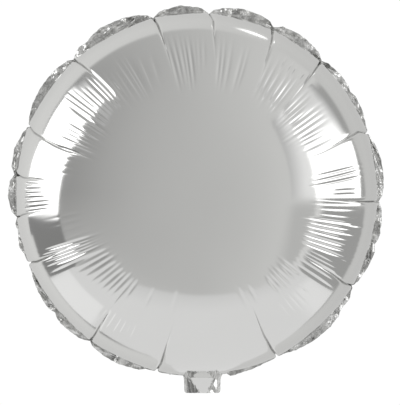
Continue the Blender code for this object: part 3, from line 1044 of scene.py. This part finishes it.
LEFT_REAR = ((0.60, -0.30), (0.50, 0.0), (0.42, 0.24), (0.30, 0.48), (0.32, 0.84), (0.34, 0.94), (0.38, 1.24))
LEFT_CORNERS = ((-0.41, -0.30), *LEFT_REAR, (-0.93, 1.24))
LEFT_WEAK_CORNERS = ((-1.5, 0.86), (-0.89, 0.86), (-0.91, 1.22), (-1.5, 1.15))
RIGHT_CORNERS = ((-0.98, -0.07), (0.27, -0.07), (0.27, 0.43), (0.18, 0.45), (0.18, 1.15), (-1.28, 1.15))
WEAK_CORNERS = ((-1.95, -0.07), (-1.01, -0.07), (-1.31, 1.15), (-2.2, 1.15))
TABLE_RIGHT = ((1.4, 0.66), (0.85, 0.52), (0.55, 0.55), (0.27, 0.80), (0.16, 1.5))
TABLE_LEFT = ((-0.1, 1.5), (-0.15, 0.62), (-0.3, 0.36), (-0.68, 0.41), (-1.0, 0.57))
TOP_LIGHT = ((0.25, 0.57), (0.43, 0.545), (0.60, 0.62), (0.60, 0.66), (0.43, 0.68), (0.25, 0.615))
TABLE_FRONT = ((-1.75, -1.3), (-0.14, -1.3), (0.3, -1.23), (0.6, -1.15), (1.4, -1.32))
TABLE = ((-1.75, 0.9), *TABLE_FRONT, *TABLE_RIGHT, *TABLE_LEFT)

panel("left_softbox", [(-SIDE_X, y, z) for y, z in LEFT_CORNERS], left_glow)
panel("left_softbox_edge", [(-SIDE_X - 0.02, y, z) for y, z in LEFT_WEAK_CORNERS], 0.55)
panel("right_softbox", [(SIDE_X, y, z) for y, z in RIGHT_CORNERS], right_glow)
panel("right_softbox_edge", [(SIDE_X + 0.02, y, z) for y, z in WEAK_CORNERS], weak_glow)
panel("table", [(x, y, TABLE_Z) for x, y in TABLE], table_glow)
panel("top_light", [(x, y, 1.2) for x, y in TOP_LIGHT], top_glow)
floor_corners = [(x * FLOOR_REACH, y * FLOOR_REACH, FLOOR_Z) for x, y in ((-1, -1), (1, -1), (1, 1), (-1, 1))]
panel("floor", floor_corners, floor_glow, for_camera=True)
print("studio panels placed")

# %% [markdown]
# ## The room
#
# The world's colour depends on the direction that a mirrored ray leaves in: pale behind the
# balloon, mid grey in front, darker to the left and below the softboxes. For the camera's own
# rays it is plain white, like the wall.

# %% The world
def room():
    world = bpy.data.worlds.new("studio")
    bpy.context.scene.world = world
    tree = Tree(world)
    place = tree.node("ShaderNodeTexCoord", output=0)
    split = tree.node("ShaderNodeSeparateXYZ", {}, {0: place})
    outputs = split.output.node.outputs
    x, y, z = (Socket(tree, output) for output in outputs)
    low_left = (0 - x).clamped() * (0 - z).clamped()
    grey = 0.59 + 0.25 * x + 0.5 * low_left
    below_left = ((-0.3 - x) * 6).clamped() * ((-0.1 - z) * 30).clamped() * ((y + 0.36) * 30).clamped()
    right_low = ((x - 0.45) * 8).clamped() * ((-0.05 - z) * 30).clamped()
    below_right = right_low * ((y + 0.52) * 30).clamped()
    light_bar = right_low * ((y + 0.64) * 30).clamped() * ((-0.53 - y) * 30).clamped()
    beside_wall = ((x - 0.45) * 8).clamped() * ((z + 0.05) * 30).clamped() * ((y + 0.1) * 10).clamped()
    beside_wall = beside_wall * ((0.97 * x - z) * 12).clamped()
    for mask, level in (
        (right_low, 0.58),
        (light_bar, 0.82),
        (below_right, 0.41),
        (below_left, 0.27),
        (beside_wall, 0.42),
    ):
        grey = grey * (1 - mask) + level * mask
    wall = ((y - 0.42 + 0.12 * (z * 3).clamped()) * 14).clamped()
    wall_grey = 0.73 - 0.08 * x - 0.1 * ((y - 0.6) * 2.5).clamped()
    grey = grey * (1 - wall) + wall_grey * wall
    background = tree.node("ShaderNodeBackground", {}, {"Color": (1.0, 1.0, 0.99, 1), "Strength": grey})
    white = tree.node("ShaderNodeBackground", {}, {"Color": (1, 1, 1, 1), "Strength": WALL_WHITE})
    camera_ray = tree.node("ShaderNodeLightPath")
    mixed = tree.node("ShaderNodeMixShader", {}, {0: camera_ray, 1: background, 2: white})
    tree.node("ShaderNodeOutputWorld", {}, {"Surface": mixed})


room()
bpy.context.scene.view_settings.view_transform = "Standard"
print("room made")

# %% [markdown]
# ## The camera
#
# The photograph was taken from straight ahead, with a long lens: the balloon's dome hides almost
# nothing of its own rim. The camera stands 2.8 m in front, and the lens is chosen so that the
# picture's 400 pixels span 384 mm at the rim.

# %% The camera
CAMERA_DISTANCE = 2.8
PICTURE_WIDTH = 0.384
CENTRE_X = 0.0033
CENTRE_Z = -0.0102

camera_data = bpy.data.cameras.new("camera")
camera_data.sensor_fit = "HORIZONTAL"
camera_data.sensor_width = 36
camera_data.lens = camera_data.sensor_width * CAMERA_DISTANCE / PICTURE_WIDTH
camera = bpy.data.objects.new("camera", camera_data)
camera.location = (CENTRE_X, -CAMERA_DISTANCE, CENTRE_Z)
camera.rotation_euler = (math.pi / 2, 0, 0)
bpy.context.scene.collection.objects.link(camera)
bpy.context.scene.camera = camera
print(f"lens {camera_data.lens:.0f} mm")

# %% [markdown]
# ## The scene brought up to date
#
# The dressed balloon must keep the solids' size.

# %% Update the scene
bpy.context.view_layer.update()
